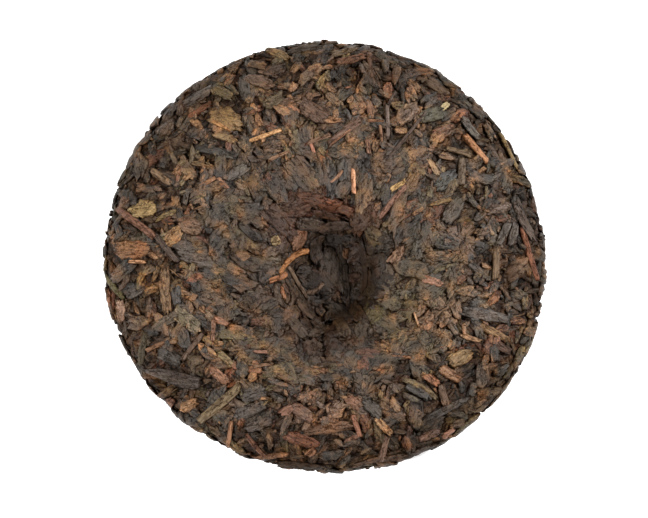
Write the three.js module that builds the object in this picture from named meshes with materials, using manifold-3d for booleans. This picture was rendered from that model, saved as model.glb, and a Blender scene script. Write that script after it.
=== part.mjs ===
// A round cake of pressed ripe tea leaves, lying on its domed face with its dimpled back up.
// Millimetres, +Z up. The origin is under the middle of the cake, on the surface that it lies on.
// The cake is one solid: a core with leaf-sized crags all over, and the largest leaves and stalks pressed in.
import * as THREE from "three";
import { mergeVertices } from "three/addons/utils/BufferGeometryUtils.js";
import Module from "manifold-3d";

// Driving dimensions of the cake
const DIAMETER = 200;
const HEIGHT = 27;
const GIRTH_HEIGHT = 12;
const FACE_FLATNESS = 4.6;
const REST_PRESS = 1.5;

// The dimple that the cloth's knot leaves in the back. Its floor lies to one side, which makes one wall steep
const DIMPLE_MOUTH = 56;
const DIMPLE_FLOOR = 20;
const DIMPLE_DEPTH = 15;
const DIMPLE_SHIFT = new THREE.Vector2(-1, -11);
const DIMPLE_STRETCH = 1.25;
const DIMPLE_FADE = 78;
const FLOOR_SHIFT = 4;
const FLOOR_FADE = 50;

// The crease that runs out of the dimple
const CREASE_LENGTH = 42;
const CREASE_WIDTH = 6;
const CREASE_DEPTH = 4;
const CREASE_MIDDLE = new THREE.Vector3(-1, -50, 25.5);

// How uneven a hand-pressed cake is: waves round the rim, as shares of the radius, and a swell of the back
const OUTLINE_WAVES = [
  { lobes: 2, share: 0.007, turn: 1.7 },
  { lobes: 3, share: 0.008, turn: 2.35 },
  { lobes: 7, share: 0.001, turn: 1.6 },
];
const BACK_SWELL = { height: 0.6, across: 145, along: 182, turn: 1 };

// The core stands in by its skin, and small leaves are crags on it, each with a height, a lean and a heading
const SKIN = 1.3;
const CRAG_COUNT = 640;
const CRAG_HEIGHT = [0, 2];
const CRAG_LEAN = 0.18;
const CRAG_SLENDERNESS = [1.2, 2.2];
const CRAG_JITTER = 4;
const CORE_DETAIL = 17;

// The largest leaves and stalks stand on the core, and each is sunk into it by its root
const PIECE_ROOT = 2.5;
const PIECE_TILT = 0.07;
const PIECE_HEIGHT = [1.3, 2.4];
const PIECE_MARGIN = 8;
const BROAD_LEAVES = { count: 60, length: [15, 23], width: [9, 13], sides: 6, taper: 0.8 };
const ROLLED_LEAVES = { count: 44, length: [14, 24], width: [4, 6], sides: 5, taper: 0.6 };
const LEAF_UNEVENNESS = 0.2;
const SHOWN_LEAF = { height: 2.4, sides: 8, taper: 0.85, unevenness: 0.15 };
const STALK_HEIGHT = 2.4;

// The long stalks and the widest leaves that show on the back: middle, heading from +X, length and width
const SHOWN_STALKS = [
  { x: -82, y: 8, heading: -42, length: 39, width: 3.6 },
  { x: -28, y: 53, heading: 15, length: 15, width: 2.5 },
  { x: 12, y: 33, heading: 92, length: 12, width: 2.5 },
  { x: -44, y: -85, heading: 86, length: 12, width: 2.5 },
  { x: 9, y: 56, heading: 43, length: 19, width: 4.1 },
  { x: 29, y: 62, heading: 85, length: 20, width: 2.3 },
  { x: 30, y: 23, heading: 47, length: 20, width: 3.2 },
  { x: 69, y: 47, heading: -51, length: 14, width: 3.4 },
  { x: 93, y: -2, heading: -75, length: 25, width: 3 },
  { x: -49, y: -71, heading: 43, length: 26, width: 5 },
  { x: -15, y: -4, heading: 34, length: 16, width: 2.7 },
];
const SHOWN_LEAVES = [
  { x: -82, y: 19, heading: 17, length: 11, width: 9 },
  { x: -88, y: -1, heading: 7, length: 15, width: 10 },
  { x: -46, y: 61, heading: -38, length: 19, width: 11 },
  { x: -70, y: -59, heading: -8, length: 23, width: 8 },
  { x: -49, y: -58, heading: -40, length: 11, width: 6 },
  { x: -1, y: -83, heading: 4, length: 25, width: 6 },
  { x: 73, y: -31, heading: -15, length: 20, width: 6 },
  { x: 87, y: -8, heading: 48, length: 13, width: 10 },
  { x: -57, y: -3, heading: 13, length: 20, width: 12 },
  { x: 79, y: 19, heading: 7, length: 11, width: 6 },
];

// Finest steps: of the section's area table, between kept points, and between points that count as one
const AREA_STEPS = 2000;
const UNPRESS_STEPS = 12;
const SMALLEST_STEP = 0.2;
const WELD = 1e-3;

const GOLDEN_ANGLE = Math.PI * (3 - Math.sqrt(5));
const wasm = await Module();
wasm.setup();

// A seeded source of even draws, so that every build scatters the leaves alike
function seededDraws(seed) {
  let state = seed;
  return (low, high) => {
    state = (Math.imul(state, 1664525) + 1013904223) >>> 0;
    return low + ((high - low) * state) / 2 ** 32;
  };
}

// Half of the core's section, from the resting face's middle round the girth to the dimple's floor
class HalfSection extends THREE.Curve {
  constructor() {
    super();
    this.arcLengthDivisions = AREA_STEPS;
  }

  getPoint(t, target = new THREE.Vector2()) {
    const turn = Math.PI * t;
    const radius = (DIAMETER / 2 - SKIN) * Math.sin(turn) ** (2 / FACE_FLATNESS);
    const rise = Math.abs(Math.cos(turn));
    if (turn < Math.PI / 2) {
      const depth = (GIRTH_HEIGHT + REST_PRESS - SKIN) * rise;
      return target.set(radius, GIRTH_HEIGHT - depth);
    }
    const crown = GIRTH_HEIGHT + (HEIGHT - GIRTH_HEIGHT - SKIN) * rise;
    const wall = THREE.MathUtils.smootherstep(radius, DIMPLE_FLOOR / 2, DIMPLE_MOUTH / 2);
    return target.set(radius, crown - DIMPLE_DEPTH * (1 - wall));
  }
}
const section = new HalfSection();

// The skin's area, summed along the section
const skinAreas = [0];
for (let i = 1; i <= AREA_STEPS; i++) {
  skinAreas.push(skinAreas[i - 1] + section.getPointAt((i - 0.5) / AREA_STEPS).x);
}

// How far along the section, as a share of its length, a share of the skin's area is reached
function shareAtArea(areaShare) {
  const wanted = areaShare * skinAreas[AREA_STEPS];
  let low = 0;
  let high = AREA_STEPS;
  while (high - low > 1) {
    const middle = (low + high) >> 1;
    if (skinAreas[middle] < wanted) low = middle;
    else high = middle;
  }
  const between = (wanted - skinAreas[low]) / (skinAreas[high] - skinAreas[low]);
  return (low + between) / AREA_STEPS;
}

// A spot of the round core: its place, and its ways along the section, round the axis and outwards
function spotAt(share, angle) {
  const point = section.getPointAt(share);
  const slope = section.getTangentAt(share);
  const outwards = new THREE.Vector3(Math.cos(angle), Math.sin(angle), 0);
  const inSection = (radius, height) => outwards.clone().multiplyScalar(radius).setZ(height);
  return {
    place: inSection(point.x, point.y),
    along: inSection(slope.x, slope.y),
    around: new THREE.Vector3(Math.sin(angle), -Math.cos(angle), 0),
    out: inSection(slope.y, -slope.x),
  };
}

// The way across a spot's skin at a turn from the section
function wayAcross(spot, turn) {
  const way = spot.along.clone().multiplyScalar(Math.cos(turn));
  return way.addScaledVector(spot.around, Math.sin(turn));
}

// Spots spread evenly over the whole skin along a spiral, each as its share of the section and its angle
function evenSpots(count, seed) {
  return Array.from({ length: count }, (_, k) => ({
    share: shareAtArea((k + 0.5) / count),
    angle: k * GOLDEN_ANGLE + seed,
  }));
}

// Moves a point of the round cake to where the hand-pressed one has it
function pressUneven(point) {
  const radius = Math.hypot(point.x, point.y);
  const angle = Math.atan2(point.y, point.x);
  let swell = 1;
  for (const wave of OUTLINE_WAVES) swell += wave.share * Math.cos(wave.lobes * angle + wave.turn);
  const upper = THREE.MathUtils.smoothstep(point.z, GIRTH_HEIGHT / 3, GIRTH_HEIGHT);
  const hold = upper * (1 - THREE.MathUtils.smootherstep(radius, 0, DIMPLE_FADE));
  const stretch = 1 + (DIMPLE_STRETCH - 1) * hold;
  const floorHold = upper * (1 - THREE.MathUtils.smootherstep(radius, 0, FLOOR_FADE));
  point.x = point.x * swell + DIMPLE_SHIFT.x * hold + FLOOR_SHIFT * floorHold;
  point.y = point.y * swell * stretch + DIMPLE_SHIFT.y * hold;
  const across = (2 * Math.PI * point.x) / BACK_SWELL.across + BACK_SWELL.turn;
  const along = (2 * Math.PI * point.y) / BACK_SWELL.along;
  point.z += BACK_SWELL.height * upper * Math.sin(across) * Math.cos(along);
  return point;
}

// A geometry with only its points left, and those that several faces share merged
function closed(geometry) {
  const bare = geometry.clone();
  bare.deleteAttribute("normal");
  bare.deleteAttribute("uv");
  return mergeVertices(bare, WELD);
}

// A closed geometry as a solid, without the faces that have no area
function solidOf(geometry) {
  const faces = [];
  const index = geometry.index.array;
  for (let i = 0; i < index.length; i += 3) {
    const [a, b, c] = index.slice(i, i + 3);
    if (a !== b && b !== c && a !== c) faces.push(a, b, c);
  }
  const mesh = new wasm.Mesh({
    numProp: 3,
    vertProperties: geometry.attributes.position.array,
    triVerts: new Uint32Array(faces),
  });
  return new wasm.Manifold(mesh);
}

// A solid's skin as a geometry
function geometryOf(solid) {
  const { vertProperties, triVerts } = solid.getMesh();
  const geometry = new THREE.BufferGeometry();
  geometry.setAttribute("position", new THREE.BufferAttribute(vertProperties, 3));
  return geometry.setIndex(new THREE.BufferAttribute(triVerts, 1));
}

// Moves every point of a geometry by a function
function reshape(geometry, move) {
  const places = geometry.attributes.position;
  const point = new THREE.Vector3();
  for (let i = 0; i < places.count; i++) {
    move(point.fromBufferAttribute(places, i));
    places.setXYZ(i, point.x, point.y, point.z);
  }
  return geometry;
}

// The small leaves of the core's skin: where each lies, which way it heads, and how it stands and leans
function makeCrags() {
  const draw = seededDraws(3);
  return evenSpots(CRAG_COUNT, 0).map(({ share, angle }) => {
    const spot = spotAt(share, angle);
    const jitter = wayAcross(spot, draw(0, 2 * Math.PI)).multiplyScalar(draw(0, CRAG_JITTER));
    return {
      place: spot.place.add(jitter),
      heading: wayAcross(spot, draw(0, Math.PI)),
      lean: wayAcross(spot, draw(0, 2 * Math.PI)).multiplyScalar(draw(0, CRAG_LEAN)),
      slenderness: draw(...CRAG_SLENDERNESS),
      height: draw(...CRAG_HEIGHT),
    };
  });
}

// How far the nearest small leaf stands out of the core at a place
function cragHeight(place, crags) {
  const step = new THREE.Vector3();
  let nearest = Infinity;
  let height = 0;
  for (const crag of crags) {
    step.subVectors(place, crag.place);
    const lengthwise = step.dot(crag.heading) ** 2;
    const sideways = step.lengthSq() - lengthwise;
    const distance = lengthwise / crag.slenderness + sideways * crag.slenderness;
    if (distance < nearest) {
      nearest = distance;
      height = crag.height + step.dot(crag.lean);
    }
  }
  return height;
}

// The core: a ball of even triangles laid over the cake's section, with a crag for each small leaf
function makeCore() {
  const crags = makeCrags();
  const ball = closed(new THREE.IcosahedronGeometry(1, CORE_DETAIL));
  const core = reshape(ball, (p) => {
    const share = shareAtArea(THREE.MathUtils.clamp((1 + p.z) / 2, 0, 1));
    const spot = spotAt(share, Math.atan2(p.y, p.x));
    p.copy(spot.place).addScaledVector(spot.out, cragHeight(spot.place, crags));
    pressUneven(p);
  });
  return solidOf(core);
}

// The groove that a fold of the cloth pressed from the dimple towards the rim
function makeCrease() {
  const groove = closed(new THREE.SphereGeometry(0.5, 8, 10)).rotateX(Math.PI / 2);
  groove.scale(CREASE_WIDTH, CREASE_LENGTH, 2 * CREASE_DEPTH);
  return solidOf(groove.translate(CREASE_MIDDLE.x, CREASE_MIDDLE.y, CREASE_MIDDLE.z));
}

// Lays a piece, made flat round the origin, on the core: bent with the section, or flat on the dimple's floor
function layOnCore(geometry, { share, angle }, heading, tilt) {
  const lean = new THREE.Matrix4().makeRotationX(tilt);
  const spin = new THREE.Matrix4().makeRotationZ(heading);
  geometry.applyMatrix4(lean).applyMatrix4(spin);
  const middle = spotAt(share, angle);
  const radius = Math.hypot(middle.place.x, middle.place.y);
  const bends = radius > DIMPLE_FLOOR / 2;
  return reshape(geometry, (p) => {
    const { x, y, z } = p;
    if (bends) {
      const bent = THREE.MathUtils.clamp(share + x / section.getLength(), 0, 1);
      const spot = spotAt(bent, angle - y / radius);
      p.copy(spot.place).addScaledVector(spot.out, z);
    } else {
      p.copy(middle.place).addScaledVector(middle.along, x);
      p.addScaledVector(middle.around, y).addScaledVector(middle.out, z);
    }
    pressUneven(p);
  });
}

// A flat leaf with an uneven outline and sloping edges, sunk by its root
function makeLeaf(draw, { length, width, height, sides, taper, unevenness }) {
  const leaf = closed(new THREE.CylinderGeometry(taper, 1, height + PIECE_ROOT, sides, 1));
  leaf.rotateX(Math.PI / 2).translate(0, 0, (height - PIECE_ROOT) / 2);
  const reach = Array.from({ length: sides }, () => 1 + draw(-unevenness, unevenness));
  const corner = (2 * Math.PI) / sides;
  return reshape(leaf, (p) => {
    if (Math.hypot(p.x, p.y) < WELD) return;
    const side = (Math.round(Math.atan2(p.y, p.x) / corner) + sides) % sides;
    p.x *= (reach[side] * length) / 2;
    p.y *= (reach[side] * width) / 2;
  });
}

// A stalk with cut ends, its long sides straight
function makeStalk({ length, width }) {
  const bar = closed(new THREE.BoxGeometry(length, width, STALK_HEIGHT + PIECE_ROOT));
  return bar.translate(0, 0, (STALK_HEIGHT - PIECE_ROOT) / 2);
}

// The spot under a point of the back as seen from above, found first on the round cake
function spotOnBack({ x, y }) {
  const round = new THREE.Vector3(x, y, HEIGHT);
  for (let i = 0; i < UNPRESS_STEPS; i++) {
    const pressed = pressUneven(round.clone());
    round.x += x - pressed.x;
    round.y += y - pressed.y;
  }
  const wanted = Math.hypot(round.x, round.y);
  let low = 0.5;
  let high = 1;
  while (high - low > 1 / AREA_STEPS) {
    const middle = (low + high) / 2;
    if (section.getPointAt(middle).x > wanted) low = middle;
    else high = middle;
  }
  return { share: low, angle: Math.atan2(round.y, round.x) };
}

// The pieces that the back shows at known places, headed as seen from above
function makeShownPieces() {
  const draw = seededDraws(7);
  const lay = (geometry, shown) => {
    const spot = spotOnBack(shown);
    const heading = THREE.MathUtils.degToRad(shown.heading) - spot.angle;
    return layOnCore(geometry, spot, heading, draw(-PIECE_TILT, PIECE_TILT));
  };
  const stalks = SHOWN_STALKS.map((shown) => lay(makeStalk(shown), shown));
  const leaves = SHOWN_LEAVES.map((shown) => lay(makeLeaf(draw, { ...shown, ...SHOWN_LEAF }), shown));
  return [...stalks, ...leaves];
}

// Leaves of one kind, spread evenly over the skin, but clear of the dimple and of the resting face
function scatter(kind, seed) {
  const draw = seededDraws(seed);
  const clear = ({ share }) => {
    const { x: radius, y: height } = section.getPointAt(share);
    const inDimple = height > GIRTH_HEIGHT && radius < DIMPLE_MOUTH / 2 + PIECE_MARGIN;
    return !inDimple && height > SKIN;
  };
  return evenSpots(kind.count, seed).filter(clear).map((spot) => {
    const leaf = makeLeaf(draw, {
      length: draw(...kind.length),
      width: draw(...kind.width),
      height: draw(...PIECE_HEIGHT),
      sides: kind.sides,
      taper: kind.taper,
      unevenness: LEAF_UNEVENNESS,
    });
    return layOnCore(leaf, spot, draw(0, Math.PI), draw(-PIECE_TILT, PIECE_TILT));
  });
}

// The space under the cake, which trims the resting face flat
function makeSpaceBelow() {
  const box = closed(new THREE.BoxGeometry(2 * DIAMETER, 2 * DIAMETER, HEIGHT));
  return solidOf(box.translate(0, 0, -HEIGHT / 2));
}

// The largest body of a solid once its close points are one: sealed gaps are filled and scraps dropped
function outerBody(solid) {
  const welded = solidOf(mergeVertices(geometryOf(solid), WELD));
  return welded.decompose().reduce((largest, body) => (body.volume() > largest.volume() ? body : largest));
}

// The whole cake, centred over the origin and standing on it
function makeCake() {
  const pieces = [...makeShownPieces(), ...scatter(BROAD_LEAVES, 1), ...scatter(ROLLED_LEAVES, 2)];
  const skinned = wasm.Manifold.union([makeCore().subtract(makeCrease()), ...pieces.map(solidOf)]);
  const rough = outerBody(skinned.subtract(makeSpaceBelow()).simplify(SMALLEST_STEP));
  const { min, max } = rough.boundingBox();
  const centred = rough.translate([-(min[0] + max[0]) / 2, -(min[1] + max[1]) / 2, -min[2]]);
  const geometry = geometryOf(outerBody(centred));
  geometry.computeVertexNormals();
  return geometry;
}

const pressedLeaf = new THREE.MeshStandardMaterial({
  color: "#4f4238",
  roughness: 0.75,
  metalness: 0,
  flatShading: true,
});
const cake = new THREE.Mesh(makeCake(), pressedLeaf);
cake.name = "tea_cake";
const part = new THREE.Group();
part.add(cake);

export default part;
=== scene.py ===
"""The looks of a pressed tea cake: leaf chips, rolled strips, stalks and crumbs pressed into a dark bed.

Shapes are worked out in millimetres, and a mesh is made in metres.
"""
import math
from collections import namedtuple

import bpy
import numpy as np
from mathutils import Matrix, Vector


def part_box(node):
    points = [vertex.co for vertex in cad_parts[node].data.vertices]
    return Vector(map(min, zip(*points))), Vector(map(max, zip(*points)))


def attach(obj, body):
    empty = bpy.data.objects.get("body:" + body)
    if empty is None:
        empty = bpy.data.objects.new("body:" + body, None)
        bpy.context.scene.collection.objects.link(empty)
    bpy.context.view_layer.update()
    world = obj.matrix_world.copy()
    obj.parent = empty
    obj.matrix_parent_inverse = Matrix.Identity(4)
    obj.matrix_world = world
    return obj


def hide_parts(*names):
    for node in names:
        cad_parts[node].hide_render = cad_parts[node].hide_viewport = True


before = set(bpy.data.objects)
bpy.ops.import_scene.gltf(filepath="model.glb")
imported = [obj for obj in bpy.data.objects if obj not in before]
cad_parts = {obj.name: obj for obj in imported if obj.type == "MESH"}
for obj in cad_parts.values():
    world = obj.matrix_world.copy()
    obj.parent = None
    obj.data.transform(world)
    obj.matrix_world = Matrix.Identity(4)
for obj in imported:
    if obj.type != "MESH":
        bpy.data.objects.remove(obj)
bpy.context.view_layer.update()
MM = 0.001

# The bed's form, under the leaves: its outer sizes follow from the solid's box
solid_low, solid_high = (np.array(corner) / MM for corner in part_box("tea_cake"))
solid_size = solid_high - solid_low
RIM_SKIN = 1.9
FACE_SKIN = 2.8
BED_RADIUS = solid_size[:2].mean() / 2 - RIM_SKIN
BED_TOP = solid_size[2] - FACE_SKIN
BED_BOTTOM = -0.2
GIRTH_HEIGHT = 12.0
FACE_FLATNESS = 4.6

# The dimple of the back, whose floor lies to one side, and the crease that the pressing cloth left
DIMPLE_MOUTH = 56.0
DIMPLE_FLOOR = 20.0
DIMPLE_DEPTH = 15.0
DIMPLE_SHIFT = (-1.0, -11.0)
DIMPLE_STRETCH = 1.25
DIMPLE_FADE = 78.0
FLOOR_SHIFT = 4.0
FLOOR_FADE = 50.0
CREASE_FROM = (-1.6, -36.0)
CREASE_TO = (1.1, -70.0)
CREASE_WIDTH = (3.6, 1.6)
CREASE_DEPTH = 4.0
CREASE_EASING = 0.75

# How uneven the hand-pressed cake is
OUTLINE_WAVES = ((2, 0.007, 1.7), (3, 0.008, 2.35), (7, 0.001, 1.6))
BACK_SWELL = 0.6
SWELL_ACROSS = 145.0
SWELL_ALONG = 182.0
SWELL_TURN = 1.0
FLOOR_PRESS = 0.8
SECTION_STEPS = 12001
SECTION_KEPT = 3001

# The photograph's frame and the camera that sees the cake as it does
PHOTO_WIDTH = 648
PHOTO_HEIGHT = 518
CAMERA_ELEVATION = math.radians(77.3)
CAMERA_DISTANCE = 1150.0
CAMERA_TARGET = np.array([-0.7, -2.7, 14.0])
CAMERA_LENS = 142.0
SENSOR_WIDTH = 36.0

GOLDEN_ANGLE = math.pi * (3 - math.sqrt(5))


def smoothstep(value, start, end):
    share = np.clip((value - start) / (end - start), 0, 1)
    return share * share * (3 - 2 * share)


def smootherstep(value, start, end):
    share = np.clip((value - start) / (end - start), 0, 1)
    return share ** 3 * (share * (share * 6 - 15) + 10)


def blend(first, second, share):
    return first + (second - first) * share


def from_middle(places):
    """How far chart places lie from their face's middle."""
    return np.hypot(places[..., 0], places[..., 1])


def linear(red, green, blue):
    """A screen colour, 0 to 255, as the light that it stands for."""
    value = np.array([red, green, blue]) / 255
    return np.where(value <= 0.04045, value / 12.92, ((value + 0.055) / 1.055) ** 2.4)


SHEEN = 0.01
SHEEN_FLOOR = 0.35


def leaf(red, green, blue):
    """The leaf's own colour under its pale sheen, from what the photograph shows."""
    seen = linear(red, green, blue)
    return np.maximum(seen - SHEEN, SHEEN_FLOOR * seen)


# Leaf colours as the photograph shows them
CHARCOAL = leaf(58, 50, 43)
SLATE = leaf(66, 60, 55)
UMBER = leaf(86, 69, 55)
BROWN = leaf(105, 80, 61)
LEATHER = leaf(122, 93, 69)
GOLD = leaf(138, 99, 60)
RUSSET = leaf(122, 78, 56)
TAN = leaf(150, 110, 76)
OLIVE = leaf(104, 90, 63)
GREY_BROWN = leaf(118, 99, 88)
# The bed's dark colour is painted shade in the gaps between leaves
BED_PAINTED_SHADE = leaf(50, 38, 28)
BED_BROWN = leaf(80, 64, 50)


# The bed's section and the chart over it

Section = namedtuple("Section", "along radius height out_radius out_height girth total")


def make_section():
    """Half of the bed's section by its length, from the resting face's middle to the dimple's floor."""
    turn = np.linspace(0, np.pi, SECTION_STEPS)
    radius = BED_RADIUS * np.abs(np.sin(turn)) ** (2 / FACE_FLATNESS)
    rise = np.abs(np.cos(turn))
    under = GIRTH_HEIGHT - (GIRTH_HEIGHT - BED_BOTTOM) * rise
    wall = smootherstep(radius, DIMPLE_FLOOR / 2, DIMPLE_MOUTH / 2)
    back = GIRTH_HEIGHT + (BED_TOP - GIRTH_HEIGHT) * rise - DIMPLE_DEPTH * (1 - wall)
    height = np.where(turn < np.pi / 2, under, back)
    steps = np.hypot(np.diff(radius), np.diff(height))
    length = np.concatenate([[0], np.cumsum(steps)])
    along = np.linspace(0, length[-1], SECTION_KEPT)
    radius = np.interp(along, length, radius)
    height = np.interp(along, length, height)
    slope_radius = np.gradient(radius, along)
    slope_height = np.gradient(height, along)
    girth = along[np.argmax(radius)]
    return Section(along, radius, height, slope_height, -slope_radius, girth, along[-1])


section = make_section()


def on_bed(chart, rise, upper):
    """Points over the round bed. A chart place is a way and a distance along the skin from a middle."""
    distance = from_middle(chart)
    angle = np.arctan2(chart[..., 1], chart[..., 0])
    along = np.where(upper, section.total - distance, distance)
    radius = np.interp(along, section.along, section.radius)
    height = np.interp(along, section.along, section.height)
    radius = radius + np.interp(along, section.along, section.out_radius) * rise
    height = height + np.interp(along, section.along, section.out_height) * rise
    return np.stack([radius * np.cos(angle), radius * np.sin(angle), height], -1)


def crease_depth(x, y):
    """How deep the cloth's fold is pressed at a place of the back."""
    start, end = np.array(CREASE_FROM), np.array(CREASE_TO)
    way = end - start
    share = ((x - start[0]) * way[0] + (y - start[1]) * way[1]) / (way @ way)
    kept = np.clip(share, 0, 1)
    distance = np.hypot(x - start[0] - kept * way[0], y - start[1] - kept * way[1])
    width = blend(*CREASE_WIDTH, kept)
    return CREASE_DEPTH * (1 - CREASE_EASING * kept) * np.exp(-((distance / width) ** 2))


def press_uneven(points):
    """Moves points of the round cake to where the hand-pressed one has them, none below the floor."""
    x, y, z = np.moveaxis(points, -1, 0)
    radius = np.hypot(x, y)
    angle = np.arctan2(y, x)
    swell = 1.0
    for lobes, share, turn in OUTLINE_WAVES:
        swell = swell + share * np.cos(lobes * angle + turn)
    upper = smoothstep(z, GIRTH_HEIGHT / 3, GIRTH_HEIGHT)
    hold = upper * (1 - smootherstep(radius, 0, DIMPLE_FADE))
    floor_hold = upper * (1 - smootherstep(radius, 0, FLOOR_FADE))
    moved_x = x * swell + DIMPLE_SHIFT[0] * hold + FLOOR_SHIFT * floor_hold
    moved_y = y * swell * (1 + (DIMPLE_STRETCH - 1) * hold) + DIMPLE_SHIFT[1] * hold
    across = 2 * np.pi * moved_x / SWELL_ACROSS + SWELL_TURN
    lengthwise = 2 * np.pi * moved_y / SWELL_ALONG
    moved_z = z + upper * BACK_SWELL * np.sin(across) * np.cos(lengthwise)
    moved_z = moved_z - upper * crease_depth(moved_x, moved_y)
    pressed = FLOOR_PRESS * np.exp(np.minimum(moved_z - FLOOR_PRESS, 0) / FLOOR_PRESS)
    moved_z = np.where(moved_z < FLOOR_PRESS, pressed, moved_z)
    return np.stack([moved_x, moved_y, moved_z], -1)


def on_cake(chart, rise, upper):
    return press_uneven(on_bed(chart, rise, upper))


# The camera, as numbers

camera_forward = np.array([0, math.cos(CAMERA_ELEVATION), -math.sin(CAMERA_ELEVATION)])
camera_up = np.array([0, math.sin(CAMERA_ELEVATION), math.cos(CAMERA_ELEVATION)])
camera_place = CAMERA_TARGET - CAMERA_DISTANCE * camera_forward
focal_pixels = CAMERA_LENS / SENSOR_WIDTH * PHOTO_WIDTH
PIXEL = CAMERA_DISTANCE / focal_pixels


def pixel_of(points):
    """Where the photograph's frame shows points."""
    seen = points - camera_place
    depth = seen @ camera_forward
    column = PHOTO_WIDTH / 2 + focal_pixels * seen[..., 0] / depth
    row = PHOTO_HEIGHT / 2 - focal_pixels * (seen @ camera_up) / depth
    return np.stack([column, row], -1)


CHART_STEP = 0.5


def chart_of_pixels(pixels):
    """The chart places of the back that the photograph shows nearest to pixels."""
    reach = section.total - section.girth
    ticks = np.arange(-reach, reach, CHART_STEP)
    chart = np.stack(np.meshgrid(ticks, ticks), -1).reshape(-1, 2)
    chart = chart[from_middle(chart) < reach]
    seen = pixel_of(on_cake(chart, 1.0, True))
    nearest = [np.argmin(((seen - pixel) ** 2).sum(-1)) for pixel in pixels]
    return chart[nearest]


# Kinds of pieces. Sizes are millimetres; widths, ends and torn edges are shares; slopes are plain ratios

Kind = namedtuple("Kind", "columns rows length width ends torn shear curve "
                          "drop roll fold ridge pitch wrinkle tilt rise")

FLAKE = Kind(15, 11, (6, 14), (0.34, 0.68), (0.15, 0.85), 0.13, 0.8, 0.04,
             (0.6, 1.1), 0.05, 0.1, 0.26, (1.5, 3.2), 0.12, 0.04, (0.5, 1.8))
SMALL_FLAKE = FLAKE._replace(columns=12, rows=9, length=(4.5, 9))
SHOWN_FLAKE = FLAKE._replace(torn=0.1, shear=0.6, ridge=0.2, pitch=(2.0, 4.5), fold=0.12, wrinkle=0.16)
UNDER_FLAKE = FLAKE._replace(columns=9, rows=7, length=(8, 18), ridge=0.1, wrinkle=0.08)
INNER_FLAKE = FLAKE._replace(length=(8, 18), width=(0.36, 0.66), ridge=0.22, pitch=(2.0, 4.0), wrinkle=0.15,
                             rise=(0.2, 1.9))
CHIP = FLAKE._replace(columns=9, rows=7, length=(2.2, 6), width=(0.35, 0.8), drop=(0.4, 0.8), ridge=0.1,
                      rise=(1.0, 1.9))
ROLLED = Kind(16, 8, (6.5, 16), (0.2, 0.36), (0.15, 0.7), 0.10, 0.5, 0.05,
              (0.6, 1.2), 0.4, 0.05, 0.2, (1.0, 1.8), 0.10, 0.07, (0.7, 1.5))
STALK = Kind(12, 6, (7, 17), (0.11, 0.2), (0.7, 1.0), 0.04, 0.5, 0.012,
             (0.9, 1.4), 0.3, 0.0, 0.06, (0.6, 1.2), 0.03, 0.04, (0.8, 1.6))
CRUMB = Kind(5, 5, (1.4, 3.8), (0.45, 0.9), (0.4, 0.9), 0.15, 0.4, 0.02,
             (0.5, 1.0), 0.2, 0.15, 0.0, (1.0, 2.0), 0.10, 0.3, (0.4, 1.5))
FIBRE = Kind(9, 3, (3.5, 8), (0.08, 0.14), (0.3, 0.9), 0.05, 0.2, 0.08,
             (0.3, 0.5), 0.5, 0.0, 0.0, (1.0, 2.0), 0.03, 0.05, (1.1, 1.6))

# How a sheet is torn, bent and folded: ranges that each piece draws from
CORNER_NEAR, CORNER_FAR = 0.15, 0.7
END_SPREAD = (0.8, 1.2)
CORNER_SPREAD = (0.8, 1.12)
SIDE_TEARS = (2, 6)
END_TEARS = (1, 3)
SMALLEST_BEND = 1e-4
DROP_SHARPNESS = (16, 12)
# How sharply the colours' border mask rises: it carries the painted shadow along each sheet's border
BORDER_SHARPNESS = (10, 7)
DROP_TILT = 0.5
WRINKLES = 4
WRINKLE_LENGTH = (1.8, 5.0)
WRINKLE_STRETCH = (0.6, 1.3)
WANDER = (0.2, 0.6)
WANDER_LENGTH = (5, 11)
FOLDS = 2
FOLD_PLACE = 0.5
FOLD_SOFTNESS = 0.04
ROLL_SPREAD = (0.3, 1)
RIDGE_SPREAD = (0.2, 1)

# How the pieces lie on the bed, by the distance from the dimple's middle
PIECE_ROOT = 2.2
# The root counts as this deep under the press limit, which paints each piece's underside dark as shade
ROOT_DEEP = 3.0
MOST_STRETCH = 1.8
SMALLEST_RADIUS = 1.0
SMALLEST_DISTANCE = 1e-6
BED_UNEVEN = 0.45
GRAIN_SPREAD = 500
CEILING_DIMPLE = 1.4
CEILING_INNER = 2.0
CEILING_OUTER = 2.2
CEILING_SOFTNESS = 0.25
CEILING_UNEVEN = 0.1
CEILING_LOOSE = 0.25
DIMPLE_EDGE = (26, 42)
OUTER_EDGE = (62, 92)
WAVE_SPREAD = (0.7, 1.5)


def make_waves(seed, length, count=7):
    """A smooth uneven field over the chart, about -1 to 1, with a typical wavelength."""
    rng = np.random.default_rng(seed)
    turns = rng.uniform(0, 2 * np.pi, count)
    phases = rng.uniform(0, 2 * np.pi, count)
    numbers = 2 * np.pi / (length * rng.uniform(*WAVE_SPREAD, count))

    def field(places):
        total = 0.0
        for turn, phase, number in zip(turns, phases, numbers):
            way = places[..., 0] * math.cos(turn) + places[..., 1] * math.sin(turn)
            total = total + np.sin(number * way + phase)
        return total / math.sqrt(count)

    return field


bed_waves = make_waves(seed=1, length=26)
ceiling_waves = make_waves(seed=2, length=34)


def ripples(rng, count, place, turns, waves=3):
    """A wavy line for each piece, about -1 to 1, along places that run from -1 to 1."""
    total = 0.0
    for _ in range(waves):
        number = rng.uniform(*turns, (count, 1, 1)) * np.pi
        total = total + np.sin(number * place + rng.uniform(0, 2 * np.pi, (count, 1, 1)))
    return total / math.sqrt(waves)


Sheets = namedtuple("Sheets", "lengthwise sideways height edge crest")


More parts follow.
